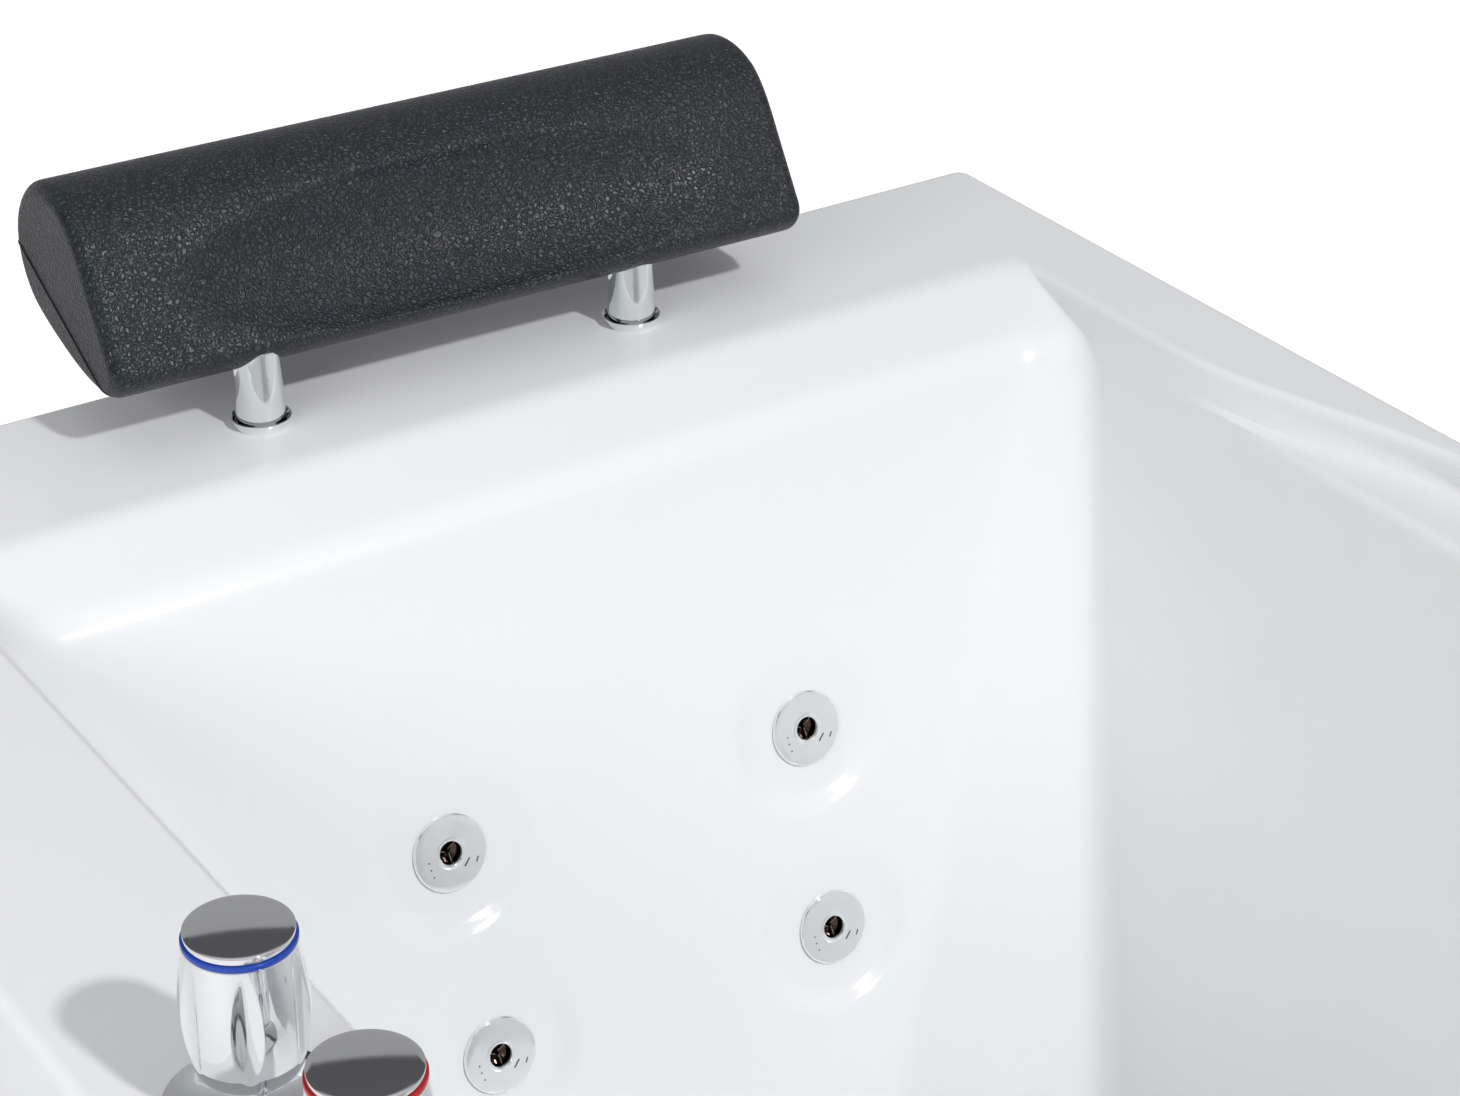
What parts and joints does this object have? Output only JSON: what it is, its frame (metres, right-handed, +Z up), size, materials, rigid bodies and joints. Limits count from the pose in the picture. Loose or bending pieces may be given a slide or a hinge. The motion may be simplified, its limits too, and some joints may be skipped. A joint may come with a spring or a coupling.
{
  "type": "jetted bathtub",
  "caption": "Rectangular jetted bath with a padded headrest on chrome posts, deck taps with fluted knobs, turning jets, pump and pipework, on a levelling frame.",
  "frame": {"origin": "on the floor under the middle of the outline, headrest overhang included", "axes": "+X from the head end to the foot end, +Y from the tap side to the wall side, +Z up"},
  "size_m": [1.8383, 0.9, 0.7186],
  "materials": {
    "acrylic_white": "polished white acrylic",
    "cushion_black": "grained black skin",
    "polished_chrome": "mirror-polished chrome plate",
    "cold_blue": "blue index ring",
    "hot_red": "red index ring",
    "brass_parts": "turned brass",
    "pipe_grey": "grey pipe",
    "pipe_white": "white moulded plastic",
    "pump_dark": "satin black paint",
    "pump_plastic": "black moulded plastic",
    "steel": "plain steel",
    "galvanised": "galvanised tube",
    "foot_black": "black foot pads",
    "board": "sealed chipboard"
  },
  "bodies": {
    "tub": {"tub_shell": "acrylic_white", "frame_rails": "galvanised", "cross_members": "galvanised", "uprights": "galvanised", "panel_screws": "steel", "levelling_feet": "foot_black", "foot_locknuts": "steel", "base_board": "board", "front_panel": "acrylic_white", "head_panel": "acrylic_white", "foot_panel": "acrylic_white", "headrest_sleeves": "polished_chrome", "sleeve_rings": "polished_chrome", "cold_flange": "polished_chrome", "cold_valve": "brass_parts", "hot_flange": "polished_chrome", "hot_valve": "brass_parts", "fill_spout": "polished_chrome", "mixing_pipe": "brass_parts", "air_valve": "polished_chrome", "button_housing": "polished_chrome", "deck_backnuts": "brass_parts", "jet_bodies": "pipe_white", "jet_nuts": "pipe_white", "water_pipes": "pipe_grey", "air_pipes": "pipe_white", "motor_housing": "pump_dark", "motor_bearings": "steel", "volute": "pump_plastic", "suction_fitting": "pipe_white", "suction_grille": "polished_chrome", "suction_pipe": "pipe_grey", "drain_flange": "polished_chrome", "waste_body": "pipe_white", "overflow_pipe": "pipe_white"},
    "headrest": {"headrest_cushion": "cushion_black", "headrest_rods": "polished_chrome"},
    "cold_tap": {"cold_knob": "polished_chrome", "cold_index_ring": "cold_blue", "cold_cap": "polished_chrome", "cold_spindle": "brass_parts"},
    "hot_tap": {"hot_knob": "polished_chrome", "hot_index_ring": "hot_red", "hot_cap": "polished_chrome", "hot_spindle": "brass_parts"},
    "air_control": {"air_knob": "polished_chrome"},
    "pump_switch": {"pump_button": "polished_chrome"},
    "back_jet_upper_left": {"back_jet_upper_left_face": "polished_chrome"},
    "back_jet_upper_right": {"back_jet_upper_right_face": "polished_chrome"},
    "back_jet_lower_left": {"back_jet_lower_left_face": "polished_chrome"},
    "back_jet_lower_right": {"back_jet_lower_right_face": "polished_chrome"},
    "side_jet_tap_side_1": {"side_jet_tap_side_1_face": "polished_chrome"},
    "side_jet_tap_side_2": {"side_jet_tap_side_2_face": "polished_chrome"},
    "side_jet_wall_side_1": {"side_jet_wall_side_1_face": "polished_chrome"},
    "side_jet_wall_side_2": {"side_jet_wall_side_2_face": "polished_chrome"},
    "overflow_control": {"overflow_knob": "polished_chrome"},
    "plug": {"drain_plug": "polished_chrome"},
    "pump_shaft": {"pump_rotor": "steel", "impeller": "pump_plastic"}
  },
  "joints": [
    {"name": "headrest_height", "type": "slide", "parent": "tub", "child": "headrest", "axis": [0, 0, 1], "range_m": [0, 0.05]},
    {"name": "cold_tap_turn", "type": "hinge", "parent": "tub", "child": "cold_tap", "pos_m": [-0.239, -0.389, 0.58], "axis": [0, 0, 1], "range_deg": [0, 90]},
    {"name": "hot_tap_turn", "type": "hinge", "parent": "tub", "child": "hot_tap", "pos_m": [-0.1315, -0.389, 0.58], "axis": [0, 0, 1], "range_deg": [0, 90]},
    {"name": "air_control_turn", "type": "hinge", "parent": "tub", "child": "air_control", "pos_m": [0.229, -0.389, 0.58], "axis": [0, 0, 1], "range_deg": [0, 270]},
    {"name": "pump_button_press", "type": "slide", "parent": "tub", "child": "pump_switch", "axis": [0, 0, 1], "range_m": [-0.004, 0], "stiffness_N_per_m": 500, "springref_m": 0.001},
    {"name": "back_jet_upper_left_turn", "type": "hinge", "parent": "tub", "child": "back_jet_upper_left", "pos_m": [-0.62464, -0.091, 0.37795], "axis": [0.969, 0, 0.247], "range_deg": [0, 90]},
    {"name": "back_jet_upper_right_turn", "type": "hinge", "parent": "tub", "child": "back_jet_upper_right", "pos_m": [-0.62464, 0.151, 0.37795], "axis": [0.969, 0, 0.247], "range_deg": [0, 90]},
    {"name": "back_jet_lower_left_turn", "type": "hinge", "parent": "tub", "child": "back_jet_lower_left", "pos_m": [-0.58545, -0.0855, 0.25945], "axis": [0.969, 0, 0.247], "range_deg": [0, 90]},
    {"name": "back_jet_lower_right_turn", "type": "hinge", "parent": "tub", "child": "back_jet_lower_right", "pos_m": [-0.58545, 0.1455, 0.25945], "axis": [0.969, 0, 0.247], "range_deg": [0, 90]},
    {"name": "side_jet_tap_side_1_turn", "type": "hinge", "parent": "tub", "child": "side_jet_tap_side_1", "pos_m": [-0.181, -0.25645, 0.27919], "axis": [0, 0.9848, 0.1736], "range_deg": [0, 90]},
    {"name": "side_jet_tap_side_2_turn", "type": "hinge", "parent": "tub", "child": "side_jet_tap_side_2", "pos_m": [0.269, -0.25645, 0.27919], "axis": [0, 0.9848, 0.1736], "range_deg": [0, 90]},
    {"name": "side_jet_wall_side_1_turn", "type": "hinge", "parent": "tub", "child": "side_jet_wall_side_1", "pos_m": [-0.181, 0.31645, 0.27919], "axis": [0, -0.9848, 0.1736], "range_deg": [0, 90]},
    {"name": "side_jet_wall_side_2_turn", "type": "hinge", "parent": "tub", "child": "side_jet_wall_side_2", "pos_m": [0.269, 0.31645, 0.27919], "axis": [0, -0.9848, 0.1736], "range_deg": [0, 90]},
    {"name": "overflow_turn", "type": "hinge", "parent": "tub", "child": "overflow_control", "pos_m": [0.79881, 0.03, 0.485], "axis": [-0.9781, 0, 0.2079], "range_deg": [0, 90]},
    {"name": "plug_lift", "type": "slide", "parent": "tub", "child": "plug", "axis": [0, 0, 1], "range_m": [0, 0.01]},
    {"name": "pump_spin", "type": "hinge", "parent": "tub", "child": "pump_shaft", "pos_m": [-0.731, -0.06, 0.156], "axis": [0, 1, 0], "continuous": true}
  ],
  "couplings": [
    {"joint": "plug_lift", "follows": "overflow_turn", "m_per_rad": 0.006366}
  ]
}
